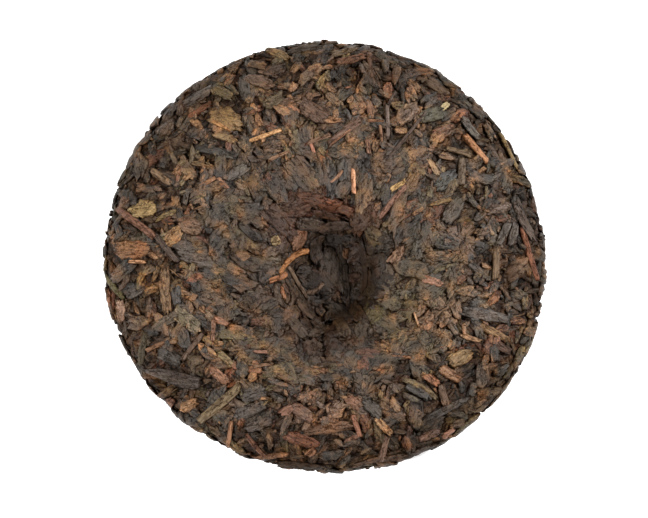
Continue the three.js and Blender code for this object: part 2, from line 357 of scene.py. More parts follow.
def make_sheets(rng, kind, lengths, widths, curves, ends):
    """Angular sheets lying flat round the origin, one for each length: places, heights and two masks."""
    count = len(lengths)

    def draw(low, high):
        return rng.uniform(low, high, (count, 1, 1))

    u = np.sin(np.linspace(-1, 1, kind.columns) * np.pi / 2)[None, :, None]
    v = np.sin(np.linspace(-1, 1, kind.rows) * np.pi / 2)[None, None, :]
    half_length = lengths[:, None, None] / 2

    def torn_side():
        """Half of the width along the piece: straight runs between four corners, and torn a little."""
        first, second = draw(-CORNER_FAR, -CORNER_NEAR), draw(CORNER_NEAR, CORNER_FAR)
        start = ends[:, 0, None, None] * draw(*END_SPREAD)
        end = ends[:, 1, None, None] * draw(*END_SPREAD)
        one, two = draw(*CORNER_SPREAD), draw(*CORNER_SPREAD)
        side = start + (one - start) * np.clip((u + 1) / (first + 1), 0, 1)
        side = side + (two - one) * np.clip((u - first) / (second - first), 0, 1)
        side = side + (end - two) * np.clip((u - second) / (1 - second), 0, 1)
        return side * (1 + kind.torn * ripples(rng, count, u, SIDE_TEARS))

    def near_border(sharpness):
        """1 along a sheet's border, 0 inside."""
        return 1 - (1 - np.abs(u) ** sharpness[0]) * (1 - np.abs(v) ** sharpness[1])

    half_width = widths[:, None, None] / 2
    flat_b = v * half_width * np.where(v < 0, torn_side(), torn_side())
    flat_a = half_length * (u + kind.torn * u ** 2 * ripples(rng, count, v, END_TEARS))
    cut = draw(-kind.shear, kind.shear) * (1 - u) / 2 + draw(-kind.shear, kind.shear) * (1 + u) / 2
    flat_a = flat_a + cut * flat_b
    bend = curves[:, None, None]
    bend = np.where(np.abs(bend) < SMALLEST_BEND, SMALLEST_BEND, bend)
    lengthwise = (1 / bend - flat_b) * np.sin(bend * flat_a)
    sideways = 1 / bend - (1 / bend - flat_b) * np.cos(bend * flat_a)

    wrinkle = 0.0
    for _ in range(WRINKLES):
        turn = draw(0, 2 * np.pi)
        number = 2 * np.pi / draw(*WRINKLE_LENGTH)
        way = flat_a * np.cos(turn) * WRINKLE_STRETCH[0] + flat_b * np.sin(turn) * WRINKLE_STRETCH[1]
        wrinkle = wrinkle + np.sin(number * way + draw(0, 2 * np.pi)) / math.sqrt(WRINKLES)
    wander = draw(*WANDER) * np.sin(2 * np.pi * flat_a / draw(*WANDER_LENGTH) + draw(0, 2 * np.pi))
    ridge = 2 * np.abs(np.sin(np.pi * (flat_b + wander) / draw(*kind.pitch) + draw(0, np.pi))) - 1
    drop = -draw(*kind.drop) * near_border(DROP_SHARPNESS)
    height = drop * (1 + DROP_TILT * (draw(-1, 1) * u + draw(-1, 1) * v))
    for _ in range(FOLDS):
        turn = draw(0, np.pi)
        off = flat_a * np.cos(turn) + flat_b * np.sin(turn) - draw(-FOLD_PLACE, FOLD_PLACE) * half_width
        height = height + draw(-kind.fold, kind.fold) * np.sqrt(off ** 2 + FOLD_SOFTNESS)
    height = height - kind.roll * draw(*ROLL_SPREAD) * half_width * v ** 2
    height = height + kind.wrinkle * wrinkle + kind.ridge * draw(*RIDGE_SPREAD) * ridge
    height = height + draw(-kind.tilt, kind.tilt) * flat_a + draw(-kind.tilt, kind.tilt) * flat_b
    # A softer border mask for the colours: it carries the painted shadow along each sheet's border, and the
    # worn lighter rim just inside it
    border = np.broadcast_to(near_border(BORDER_SHARPNESS), height.shape)
    return Sheets(lengthwise, sideways, height, border, (wrinkle + ridge) / 2)


def ceiling(chart):
    """The height over the bed that the press left: low and even round the dimple, looser towards the rim."""
    distance = from_middle(chart)
    outer = smoothstep(distance, *OUTER_EDGE)
    height = blend(CEILING_DIMPLE, CEILING_INNER, smoothstep(distance, *DIMPLE_EDGE))
    height = height + (CEILING_OUTER - CEILING_INNER) * outer
    return height + (CEILING_UNEVEN + CEILING_LOOSE * outer) * ceiling_waves(chart)


def press(height, limit):
    """Flattens what stands over a limit."""
    over = (height - limit) / CEILING_SOFTNESS
    return limit - CEILING_SOFTNESS * np.logaddexp(0, -over)


Laid = namedtuple("Laid", "points roots places edge crest deep grain")


def lay(rng, sheets, chart, upper, headings, rise, stand=0.0):
    """Lays sheets on the bed at chart places, pressed as the cake is. A root closes each one underneath."""
    distance = from_middle(chart)
    along = np.where(upper, section.total - distance, distance)
    radius = np.interp(along, section.along, section.radius)
    stretch = np.clip(distance / np.maximum(radius, SMALLEST_RADIUS), 1, MOST_STRETCH)
    out = chart / np.maximum(distance, SMALLEST_DISTANCE)[:, None]
    hand = np.where(upper, 1, -1)
    side = np.stack([-out[:, 1], out[:, 0]], -1) * hand[:, None]
    turn = headings - np.arctan2(out[:, 1], out[:, 0]) * hand
    cos, sin = np.cos(turn)[:, None, None], np.sin(turn)[:, None, None]
    outwards = sheets.lengthwise * cos - sheets.sideways * sin
    around = (sheets.lengthwise * sin + sheets.sideways * cos) * stretch[:, None, None]
    places = chart[:, None, None, :] + outwards[..., None] * out[:, None, None, :]
    places = places + around[..., None] * side[:, None, None, :]
    upper_grid = upper[:, None, None]
    limit = ceiling(places) + stand
    height = press(sheets.height + rise[:, None, None], limit)
    points = on_cake(places, height + BED_UNEVEN * bed_waves(places), upper_grid)
    roots = on_cake(chart, np.full(len(chart), -PIECE_ROOT), upper)
    offset = rng.uniform(-GRAIN_SPREAD, GRAIN_SPREAD, (len(chart), 1, 1))
    grain = np.stack([sheets.lengthwise + offset, sheets.sideways + 2 * offset, height + 0 * offset], -1)
    return Laid(points, roots, places, sheets.edge, sheets.crest, limit - height, grain)


def scatter_spots(rng, count, jitter, first, last):
    """Chart places spread evenly along a spiral, from one share of the section's length to another."""
    inside = (section.along >= first * section.total) & (section.along <= last * section.total)
    weight = np.cumsum(section.radius * inside)
    wanted = (np.arange(count) + 0.5) / count * weight[-1]
    along = np.interp(wanted, weight, section.along)
    angle = np.arange(count) * GOLDEN_ANGLE + rng.uniform(0, 2 * np.pi)
    upper = along > section.girth
    distance = np.where(upper, section.total - along, along)
    chart = distance[:, None] * np.stack([np.cos(angle), np.sin(angle)], -1)
    return chart + rng.uniform(-jitter, jitter, chart.shape), upper


# Colours of pieces: each kind's shares of the palette, and places where the photograph shows another tone

PALETTE = np.array([CHARCOAL, SLATE, UMBER, BROWN, LEATHER, RUSSET, OLIVE, TAN])
FLAKE_SHARES = np.array([0.20, 0.30, 0.22, 0.12, 0.04, 0.05, 0.06, 0.01])
ROLLED_SHARES = np.array([0.20, 0.27, 0.24, 0.13, 0.04, 0.05, 0.06, 0.01])
STALK_SHARES = np.array([0.00, 0.05, 0.25, 0.28, 0.12, 0.18, 0.04, 0.08])
CRUMB_SHARES = np.array([0.20, 0.22, 0.20, 0.14, 0.07, 0.08, 0.06, 0.03])
FIBRE_SHARES = np.array([0.00, 0.00, 0.10, 0.20, 0.25, 0.10, 0.15, 0.20])
INNER_SHARES = np.array([0.24, 0.32, 0.22, 0.10, 0.03, 0.04, 0.05, 0.00])
CHIP_SHARES = np.array([0.02, 0.08, 0.18, 0.20, 0.22, 0.04, 0.10, 0.16])
WORN_TINTS = np.array([BROWN, LEATHER, TAN, OLIVE, GREY_BROWN])

Tone = namedtuple("Tone", "middle reach tint share shade")

# Some tones paint shade into the dimple and the crease, and light or shade onto the cake's edge
TONES_AND_PAINTED_LIGHT = (
    # Darker leaf and painted shade in the dimple's hollow
    Tone((340, 273), (53, 66), leaf(66, 52, 42), 0.5, 0.3),
    # A darker slate tone over the inner ring
    Tone((330, 258), (150, 140), SLATE, 0.1, 0.8),
    # Painted shade round the dimple's mouth and on its walls, and darker red-brown leaf on its lip
    Tone((306, 270), (76, 90), leaf(90, 68, 52), 0.3, 0.72),
    Tone((322, 338), (44, 20), leaf(80, 54, 36), 0.5, 0.52),
    Tone((366, 332), (24, 16), leaf(84, 66, 46), 0.4, 0.76),
    Tone((280, 222), (18, 24), leaf(94, 62, 46), 0.6, 0.63),
    Tone((366, 218), (24, 16), leaf(94, 66, 46), 0.4, 0.72),
    Tone((322, 207), (48, 15), leaf(104, 62, 42), 0.8, 0.5),
    # Painted shade along the crease
    Tone((325, 358), (9, 38), UMBER, 0.3, 0.75),
    # Patches of the leaves' own olive, gold and tan colours
    Tone((425, 300), (40, 60), OLIVE, 0.3, 1.0),
    Tone((380, 312), (14, 14), leaf(112, 102, 60), 0.35, 1.0),
    Tone((220, 92), (22, 14), leaf(96, 86, 58), 0.4, 1.0),
    Tone((195, 158), (24, 12), leaf(118, 96, 60), 0.6, 1.0),
    Tone((160, 285), (22, 24), leaf(128, 100, 62), 0.5, 1.0),
    Tone((432, 315), (22, 14), leaf(118, 88, 66), 0.7, 1.0),
    # Painted shade on the right and top edges and low on the right, where the key light falls; painted light
    # on the upper left, the left and the bottom, which the lamps reach less
    Tone((530, 215), (18, 62), UMBER, 0.2, 0.56),
    Tone((385, 54), (36, 14), BROWN, 0.2, 0.5),
    Tone((424, 430), (20, 24), SLATE, 0.5, 0.54),
    Tone((196, 96), (22, 16), leaf(98, 86, 74), 0.5, 1.35),
    Tone((119, 314), (14, 20), leaf(122, 102, 86), 0.6, 1.4),
    Tone((324, 412), (40, 20), leaf(118, 90, 72), 0.5, 1.3),
)


warm_waves = make_waves(seed=31, length=11, count=11)
olive_waves = make_waves(seed=32, length=16, count=11)
light_waves = make_waves(seed=33, length=13, count=11)
FIELD_INNER = 0.46
FIELD_OUTER = 0.4
WORN_INNER = 0.2
WORN_OUTER = 0.5
# Painted shade on the cake's side: the outermost pieces are darkened from this distance outwards
RIM_START = 81.0
RIM_PAINTED_SHADE = 0.69
DULLING = 0.24
RIM_FADE = 10.0
SIDE_EDGE = (92, 106)
SIDE_DULLING = 0.6
TONE_FADE = (0.6, 1.25)
TONE_SPREAD = (0.4, 1)
TONE_RIM_GAIN = 1.3
WARM_RANGE = (-0.3, 1.5)
OLIVE_RANGE = (0.1, 1.5)
OLIVE_SHARE = 0.7
LIGHT_SHARE = 0.06
BRIGHT_SPREAD = 0.12
WORN_BRIGHT = (0.1, 0.25)
WORN_GAIN = 1.2


def field_tint(places):
    """The colour that neighbouring leaves share, as it drifts over the cake."""
    warm = smoothstep(warm_waves(places), *WARM_RANGE)[..., None]
    olive = smoothstep(olive_waves(places), *OLIVE_RANGE)[..., None]
    tint = blend(SLATE, GOLD, warm)
    tint = tint + (OLIVE - tint) * OLIVE_SHARE * olive
    return tint * np.exp(LIGHT_SHARE * light_waves(places))[..., None]


def near_tone(tone, pixels, upper):
    """1 where pieces lie in a tone's middle, 0 well outside its reach."""
    off = (pixels - np.array(tone.middle)) / np.array(tone.reach)
    return (1 - smoothstep(from_middle(off), *TONE_FADE)) * upper


def painted_shade_at_rim(chart):
    """Painted shade on the cake's side: how dark the outermost pieces are."""
    at_rim = smoothstep(from_middle(chart), RIM_START, RIM_START + RIM_FADE)
    return blend(1, RIM_PAINTED_SHADE, at_rim)


def sheen_left(chart, upper):
    """The share of the sheen that pieces keep: dark places and the cake's side are dull."""
    pixels = pixel_of(on_cake(chart, np.ones(len(chart)), upper))
    sheen = painted_shade_at_rim(chart)
    for tone in TONES_AND_PAINTED_LIGHT:
        sheen = sheen * blend(1, min(tone.shade, 1), near_tone(tone, pixels, upper))
    at_side = smoothstep(from_middle(chart), *SIDE_EDGE)
    return (sheen ** DULLING * (1 - SIDE_DULLING * at_side))[:, None, None, None]


def choose_tints(rng, shares, chart, upper, places, inner):
    """Colours over each piece, and second ones for its worn parts, with the tones' painted light and shade
    and painted shade on the cake's side.
    """
    count = len(chart)
    inner = inner[:, None, None, None]
    first = rng.choice(len(PALETTE), count, p=shares / shares.sum())
    bright = np.exp(rng.normal(0, BRIGHT_SPREAD, (count, 1)))
    own = (PALETTE[first] * bright)[:, None, None]
    tints = blend(own, field_tint(places), blend(FIELD_OUTER, FIELD_INNER, inner))
    worn = WORN_TINTS[rng.choice(len(WORN_TINTS), count)] * np.exp(rng.normal(*WORN_BRIGHT, (count, 1)))
    worn_share = blend(WORN_OUTER, WORN_INNER, inner)
    rims = WORN_GAIN * tints + worn_share * worn[:, None, None]
    pixels = pixel_of(on_cake(chart, np.ones(count), upper))
    for tone in TONES_AND_PAINTED_LIGHT:
        near = near_tone(tone, pixels, upper)
        share = (near * tone.share * rng.uniform(*TONE_SPREAD, count))[:, None, None, None]
        shade = blend(1, tone.shade, near)[:, None, None, None]
        tints = blend(tints, tone.tint, share) * shade
        rims = blend(rims, tone.tint * TONE_RIM_GAIN, share) * shade
    # Painted shade on the cake's side
    painted_rim_shade = painted_shade_at_rim(chart)[:, None, None, None]
    return tints * painted_rim_shade, rims * painted_rim_shade


# Meshes

UV_MARGIN = 0.06
UV_UNDERSIDE = 0.12


def add_mesh(name, points, loops, starts, smooth, uvs, attributes, material):
    """A mesh from arrays, riding on the cake's body in the solid's place."""
    mesh = bpy.data.meshes.new(name)
    mesh.vertices.add(len(points))
    mesh.vertices.foreach_set("co", (points * MM).astype(np.float32).ravel())
    mesh.loops.add(len(loops))
    mesh.loops.foreach_set("vertex_index", loops.astype(np.int32))
    mesh.polygons.add(len(starts))
    mesh.polygons.foreach_set("loop_start", starts.astype(np.int32))
    mesh.polygons.foreach_set("use_smooth", smooth)
    mesh.uv_layers.new(name="OFBake").uv.foreach_set("vector", uvs.astype(np.float32).ravel())
    for label, (form, values) in attributes.items():
        field = "color" if form == "FLOAT_COLOR" else "vector" if form == "FLOAT_VECTOR" else "value"
        layer = mesh.attributes.new(label, form, "POINT")
        layer.data.foreach_set(field, values.astype(np.float32).ravel())
    mesh.update(calc_edges=True)
    piece = bpy.data.objects.new(name, mesh)
    bpy.context.scene.collection.objects.link(piece)
    mesh.materials.append(material)
    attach(piece, "root")
    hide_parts("tea_cake")


def border_order(columns, rows):
    """A grid's border points in turn, anticlockwise as seen from above."""
    grid = np.arange(columns * rows).reshape(columns, rows)
    return np.concatenate([grid[:-1, 0], grid[-1, :-1], grid[:0:-1, -1], grid[0, :0:-1]])


def closed_sheets(name, kind, laid, tints, rims, sheen, material):
    """One mesh of many closed sheets: a grid on top, and below it a fan from its border to the root."""
    count = len(laid.points)
    columns, rows = kind.columns, kind.rows
    size = columns * rows + 1
    grid = np.arange(columns * rows).reshape(columns, rows)
    quads = np.stack([grid[:-1, :-1], grid[1:, :-1], grid[1:, 1:], grid[:-1, 1:]], -1).reshape(-1, 4)
    border = border_order(columns, rows)
    fan = np.stack([np.roll(border, -1), border, np.full(len(border), size - 1)], -1)
    one = np.concatenate([quads.ravel(), fan.ravel()])
    one_starts = np.concatenate([np.arange(len(quads)) * 4, len(quads) * 4 + np.arange(len(fan)) * 3])
    loops = (one[None] + (np.arange(count) * size)[:, None]).ravel()
    starts = (one_starts[None] + (np.arange(count) * len(one))[:, None]).ravel()
    smooth = np.tile(np.arange(len(one_starts)) < len(quads), count)

    cells = math.ceil(math.sqrt(count))
    inside = 1 - 2 * UV_MARGIN
    u = np.linspace(UV_MARGIN, 1 - UV_MARGIN, columns)[:, None] + np.zeros((1, rows))
    v = np.linspace(UV_UNDERSIDE + 2 * UV_MARGIN, 1 - UV_MARGIN, rows)[None] + np.zeros((columns, 1))
    top_uv = np.stack([u, v], -1).reshape(-1, 2)[quads.ravel()]
    step = np.arange(len(border)) / len(border) * inside + UV_MARGIN
    ahead = (np.arange(len(border)) + 1) / len(border) * inside + UV_MARGIN
    fan_u = np.stack([ahead, step, (step + ahead) / 2], -1)
    fan_v = np.tile([UV_UNDERSIDE, UV_UNDERSIDE, UV_MARGIN / 2], (len(border), 1))
    fan_uv = np.stack([fan_u, fan_v], -1).reshape(-1, 2)
    one_uv = np.concatenate([top_uv, fan_uv])
    corner = np.stack([np.arange(count) % cells, np.arange(count) // cells], -1)
    uvs = (one_uv[None] + corner[:, None]) / cells

    def per_point(top, root):
        top = np.broadcast_to(top, (count, columns, rows) + top.shape[3:])
        flat = top.reshape(count, columns * rows, -1)
        root = np.broadcast_to(root, (count, 1, flat.shape[-1]))
        return np.concatenate([flat, root], 1).reshape(-1, flat.shape[-1])

    opaque = np.ones(tints.shape[:3] + (1,))
    tints = np.concatenate([tints, opaque], -1)
    rims = np.concatenate([rims, opaque], -1)
    one_value = np.ones((1, 1, 1))
    attributes = {
        "tint": ("FLOAT_COLOR", per_point(tints, tints[:, 0, :1])),
        "rim": ("FLOAT_COLOR", per_point(rims, rims[:, 0, :1])),
        "sheen": ("FLOAT", per_point(sheen, one_value)),
        "edge": ("FLOAT", per_point(laid.edge[..., None], one_value)),
        "crest": ("FLOAT", per_point(laid.crest[..., None], 0 * one_value)),
        "deep": ("FLOAT", per_point(laid.deep[..., None], ROOT_DEEP * one_value)),
        "grain": ("FLOAT_VECTOR", per_point(laid.grain, laid.grain[:, :1, 0])),
    }
    all_points = per_point(laid.points, laid.roots[:, None])
    add_mesh(name, all_points, loops, starts, smooth, uvs.reshape(-1, 2), attributes, material)


# Materials


class Nodes:
    """Short ways to add and link shader nodes."""

    def __init__(self, name):
        self.material = bpy.data.materials.new(name)
        self.material.use_nodes = True
        self.tree = self.material.node_tree
        self.shader = self.tree.nodes["Principled BSDF"]

    def add(self, kind, **settings):
        node = self.tree.nodes.new(kind)
        for name, value in settings.items():
            setattr(node, name, value)
        return node

    def link(self, source, target):
        self.tree.links.new(source, target)

    def set(self, socket, value):
        if isinstance(value, bpy.types.NodeSocket):
            self.link(value, socket)
        else:
            socket.default_value = value

    def attribute(self, name, output):
        return self.add("ShaderNodeAttribute", attribute_name=name).outputs[output]

    def math(self, operation, *values):
        node = self.add("ShaderNodeMath", operation=operation)
        for socket, value in zip(node.inputs, values):
            self.set(socket, value)
        return node.outputs[0]

    def mix(self, share, first, second, mode="MIX"):
        node = self.add("ShaderNodeMix", data_type="RGBA", blend_type=mode)
        self.set(node.inputs["Factor"], share)
        self.set(node.inputs[6], first)
        self.set(node.inputs[7], second)
        return node.outputs[2]

    def noise(self, vector, scale, detail, roughness, stretch=(1, 1, 1)):
        mapping = self.add("ShaderNodeMapping")
        mapping.inputs["Scale"].default_value = stretch
        self.link(vector, mapping.inputs["Vector"])
        node = self.add("ShaderNodeTexNoise")
        node.inputs["Scale"].default_value = scale
        node.inputs["Detail"].default_value = detail
        node.inputs["Roughness"].default_value = roughness
        self.link(mapping.outputs[0], node.inputs["Vector"])
        return node.outputs["Fac"]

    def ramp(self, value, low, high, first=0.0, last=1.0):
        node = self.add("ShaderNodeMapRange", clamp=True)
        self.set(node.inputs["Value"], value)
        node.inputs["From Min"].default_value = low
        node.inputs["From Max"].default_value = high
        node.inputs["To Min"].default_value = first
        node.inputs["To Max"].default_value = last
        return node.outputs["Result"]

    def product(self, values):
        total = values[0]
        for value in values[1:]:
            total = self.math("MULTIPLY", total, value)
        return total


# Noises over a leaf: scale, detail, roughness and stretch
MOTTLE = (0.4, 4, 0.62)
SPECKLE = (1.6, 2, 0.8)
STREAKS = (0.8, 2, 0.65, (0.3, 1.6, 1))
CRACK_LINES = (0.24, 4, 0.6, (0.7, 1.4, 1))
VEIN_LINES = (0.42, 3, 0.55, (0.22, 1.5, 1))
PATCH_DETAIL = (3, 0.5)

# What the shades and colours follow from: a range of a mask, and the values at its ends
NOISE_MIDDLE = 0.5
CRACK_WIDTH = 0.04
CRACK_ENDS = (0.5, 0.6)
VEIN_WIDTH = 0.05
RAISED = (0.25, 0.9, 1.0, 0.0)
WORN_EDGE = (0.02, 0.25)
WORN_MOTTLE = (0.45, 0.62)
WORN_SHARE = 0.8
CREST_MOTTLE = 0.06
WORN_PATCH = (0.52, 0.72, 0.0, 0.6)
PATCH_WIDTH = 0.1
# Painted shade: deep below the press limit, along each sheet's border as a shadow on what lies below, in
# wrinkle valleys and along crack lines
DEEP_SHADE = (0.95, 2.4, 1.0, 0.2)
EDGE_SHADE = (0.35, 0.9, 1.0, 0.22)
CREST_SHADE = (-0.9, -0.2, 0.55, 1.0)
CRACK_SHADE = (0.0, 1.0, 0.2, 1.0)
VEIN_SHADE = 1.4
SPECKLE_RANGE = (0.28, 0.72)
STREAK_RANGE = (0.3, 0.7)
WARM_SHADE = (1.0, 1.12, 1.25)
DARKEST = 0.13
WARM_GAIN = (2.0, 1.53, 1.1)
OLIVE_GAIN = (1.4, 1.38, 0.95)
PATCHES = ((WARM_GAIN, 150, 0.53), (OLIVE_GAIN, 95, 0.54))
SPECULAR = 0.42
SMOOTHER, ROUGHER = 0.1, 0.12
BUMP_DEPTH = 0.4
CRACK_BUMP = 0.4


def leaf_material(name, streak, roughness, contrast, patches):
    """Pressed leaf: worn lighter along raised edges, with painted shade in gaps, along borders, in wrinkle
    valleys and along cracks, and a pale sheen.
    """
    nodes = Nodes(name)

    def near_middle(noise, width):
        """0 along the lines where a noise has its middle value, 1 beside them."""
        return nodes.ramp(nodes.math("ABSOLUTE", nodes.math("SUBTRACT", noise, NOISE_MIDDLE)), 0.0, width)

    grain = nodes.attribute("grain", "Vector")
    edge = nodes.attribute("edge", "Fac")
    crest = nodes.attribute("crest", "Fac")
    deep = nodes.attribute("deep", "Fac")
    sheen = nodes.attribute("sheen", "Fac")
    mottle = nodes.noise(grain, *MOTTLE)
    speckle = nodes.noise(grain, *SPECKLE)
    streaks = nodes.noise(grain, *STREAKS)
    # Crack lines: dark as painted shade, and given as bump relief too
    crack = near_middle(nodes.noise(grain, *CRACK_LINES), CRACK_WIDTH)
    crack = nodes.math("MAXIMUM", crack, nodes.ramp(mottle, *CRACK_ENDS))
    vein = near_middle(nodes.noise(grain, *VEIN_LINES), VEIN_WIDTH)
    raised = nodes.ramp(deep, *RAISED)
    worn = nodes.product([nodes.ramp(edge, *WORN_EDGE), raised, nodes.ramp(mottle, *WORN_MOTTLE)])
    raised_mottle = nodes.math("ADD", mottle, nodes.math("MULTIPLY", crest, CREST_MOTTLE))
    patch = nodes.ramp(raised_mottle, *WORN_PATCH)
    share = nodes.math("MAXIMUM", nodes.math("MULTIPLY", worn, WORN_SHARE), patch)
    colour = nodes.mix(share, nodes.attribute("tint", "Color"), nodes.attribute("rim", "Color"))
    place = nodes.add("ShaderNodeTexCoord").outputs["Object"]
    for gain, scale, start in PATCHES:
        patch = nodes.noise(place, scale, *PATCH_DETAIL)
        patch = nodes.ramp(patch, start, start + PATCH_WIDTH, 0.0, patches)
        colour = nodes.mix(patch, colour, nodes.mix(1.0, colour, (*gain, 1), "MULTIPLY"))
    # Painted shade in the gaps, along borders, in wrinkle valleys and along cracks, with the vein lines; it
    # dims the sheen too
    painted_shade_and_veins = nodes.product([
        nodes.ramp(deep, *DEEP_SHADE),
        nodes.ramp(edge, *EDGE_SHADE),
        nodes.ramp(crest, *CREST_SHADE),
        nodes.ramp(crack, *CRACK_SHADE),
        nodes.ramp(vein, 0.0, 1.0, 1 - VEIN_SHADE * streak, 1.0),
    ])
    shade = nodes.product([
        nodes.math("MAXIMUM", painted_shade_and_veins, DARKEST),
        nodes.ramp(speckle, *SPECKLE_RANGE, 1 - contrast, 1 + contrast),
        nodes.ramp(streaks, *STREAK_RANGE, 1 - streak, 1 + streak),
    ])
    warm_shade = nodes.add("ShaderNodeCombineColor")
    for channel, power in zip(warm_shade.inputs, WARM_SHADE):
        nodes.link(nodes.math("POWER", shade, power), channel)
    inputs = nodes.shader.inputs
    nodes.link(nodes.mix(1.0, colour, warm_shade.outputs[0], "MULTIPLY"), inputs["Base Color"])
    rough = nodes.ramp(mottle, *STREAK_RANGE, roughness - SMOOTHER, roughness + ROUGHER)
    nodes.link(rough, inputs["Roughness"])
    nodes.link(nodes.product([painted_shade_and_veins, sheen, SPECULAR]), inputs["Specular IOR Level"])
    bump = nodes.add("ShaderNodeBump")
    bump.inputs["Strength"].default_value = 1.0
    bump.inputs["Distance"].default_value = BUMP_DEPTH * MM
    relief = nodes.math("MULTIPLY_ADD", streaks, streak, speckle)
    relief = nodes.math("MULTIPLY_ADD", crack, CRACK_BUMP, relief)
    relief = nodes.math("MULTIPLY_ADD", vein, streak, relief)
    nodes.link(relief, bump.inputs["Height"])
    nodes.link(bump.outputs["Normal"], inputs["Normal"])
    return nodes.material


# The bed

BED_ROWS = 150
BED_COLUMNS = 260
BED_FINE = 0.3
BED_COARSE = 0.25
BED_SINK = 0.1
BED_MIX = (-0.6, 1.0)
BED_RIM_GAIN = 1.6
BED_SHEEN = 0.5
BED_DEEP = 0.6
BED_POLE_MIX = 0.5
BED_UV_SCALE = 4.2
BACK_UV_MIDDLE = (0.25, 0.25)
UNDER_UV_MIDDLE = (0.75, 0.25)


def make_bed(material):
    """The bed under the leaves, painted dark as shade in the gaps between them, with crumb-sized relief."""
    rows, columns = BED_ROWS, BED_COLUMNS
    along = np.linspace(0, section.total, rows + 2)[1:-1]
    upper = along > section.girth
    distance = np.where(upper, section.total - along, along)
    angle = np.arange(columns) / columns * 2 * np.pi
    ring = np.stack([np.cos(angle), np.sin(angle)], -1)
    chart = distance[:, None, None] * ring[None]
    fine = make_waves(seed=5, length=3.4, count=11)
    coarse = make_waves(seed=6, length=7.5, count=9)
    rise = BED_FINE * fine(chart) + BED_COARSE * coarse(chart) + BED_UNEVEN * bed_waves(chart) - BED_SINK
    points = on_cake(chart, rise, upper[:, None]).reshape(-1, 3)
    poles = on_cake(np.zeros((2, 2)), np.zeros(2), np.array([False, True]))
    points = np.concatenate([points, poles])
    grid = np.arange(rows * columns).reshape(rows, columns)
    ahead = np.roll(grid, -1, 1)
    quads = np.stack([grid[:-1], ahead[:-1], ahead[1:], grid[1:]], -1).reshape(-1, 4)
    low_fan = np.stack([ahead[0], grid[0], np.full(columns, rows * columns)], -1)
    top_fan = np.stack([grid[-1], ahead[-1], np.full(columns, rows * columns + 1)], -1)
    loops = np.concatenate([quads.ravel(), low_fan.ravel(), top_fan.ravel()])
    starts = np.concatenate([np.arange(len(quads)) * 4, len(quads) * 4 + np.arange(2 * columns) * 3])
    reach = distance / section.girth / BED_UV_SCALE
    middle = np.where(upper[:, None], BACK_UV_MIDDLE, UNDER_UV_MIDDLE)
    bed_uv = (middle[:, None] + reach[:, None, None] * ring[None]).reshape(-1, 2)
    bed_uv = np.concatenate([bed_uv, [UNDER_UV_MIDDLE, BACK_UV_MIDDLE]])
    count = len(points)
    mixed = make_waves(seed=8, length=9, count=9)
    share = np.concatenate([smoothstep(mixed(chart), *BED_MIX).ravel(), [BED_POLE_MIX] * 2])[:, None]
    tint = BED_PAINTED_SHADE * (1 - share) + BED_BROWN * share
    opaque = np.ones((count, 1))
    attributes = {
        "tint": ("FLOAT_COLOR", np.concatenate([tint, opaque], 1)),
        "rim": ("FLOAT_COLOR", np.concatenate([tint * BED_RIM_GAIN, opaque], 1)),
        "sheen": ("FLOAT", np.full(count, BED_SHEEN)),
        "edge": ("FLOAT", np.zeros(count)),
        "crest": ("FLOAT", np.concatenate([fine(chart).ravel(), [0, 0]])),
        "deep": ("FLOAT", np.full(count, BED_DEEP)),
        "grain": ("FLOAT_VECTOR", points),
    }
    smooth = np.ones(len(starts), bool)
    add_mesh("leaf_bed", points, loops, starts, smooth, bed_uv[loops], attributes, material)


# Scattered pieces

SHOWN_CLEARANCE = 0.6
SHOWN_BORDER = (1.0, 3.0)
SHOWN_WORN_GAIN = 1.2
INNER_EDGE = (55, 80)
RIM_EDGE = (96, 112)
RIM_ALIGNED = 0.8
RIM_TURN = 0.35
PLEAT_START = (24, 32)
PLEAT_END = (46, 62)
PLEAT_ALIGNED = 0.75
PLEAT_TURN = 0.3


def scatter(name, kind, seed, count, shares, material, jitter, first, last):
    """One mesh of many pieces of a kind, spread over a part of the cake's skin."""
    rng = np.random.default_rng(seed)
    chart, upper = scatter_spots(rng, count, jitter, first, last)
    distance = from_middle(chart)
    inner = (1 - smoothstep(distance, *INNER_EDGE)) * upper
    lengths = rng.uniform(*kind.length, count)
    widths = lengths * rng.uniform(*kind.width, count)
    curves = rng.normal(0, kind.curve, count)
    headings = rng.uniform(0, 2 * np.pi, count)
    around = np.arctan2(chart[:, 1], chart[:, 0]) * np.where(upper, 1, -1) + np.pi / 2
    aligned = rng.random(count) < RIM_ALIGNED * smoothstep(distance, *RIM_EDGE)
    headings = np.where(aligned, around + rng.normal(0, RIM_TURN, count), headings)
    pleated = smoothstep(distance, *PLEAT_START) * (1 - smoothstep(distance, *PLEAT_END)) * upper
    aligned = rng.random(count) < PLEAT_ALIGNED * pleated
    headings = np.where(aligned, around + rng.normal(np.pi / 2, PLEAT_TURN, count), headings)
    ends = rng.uniform(*kind.ends, (count, 2))
    sheets = make_sheets(rng, kind, lengths, widths, curves, ends)
    rise = rng.uniform(*kind.rise, count) - SHOWN_CLEARANCE * near_shown(chart) * upper
    laid = lay(rng, sheets, chart, upper, headings, rise)
    tints, rims = choose_tints(rng, shares, chart, upper, laid.places, inner)
    closed_sheets(name, kind, laid, tints, rims, sheen_left(chart, upper), material)


# What the photograph shows at known places: from one pixel to another, width in pixels, colour, and for
# some the bend and the shares of the width left at both ends

Shown = namedtuple("Shown", "start end width colour bend ends", defaults=(0.0, (0.6, 0.6)))
STALK_ENDS = (0.9, 0.9)

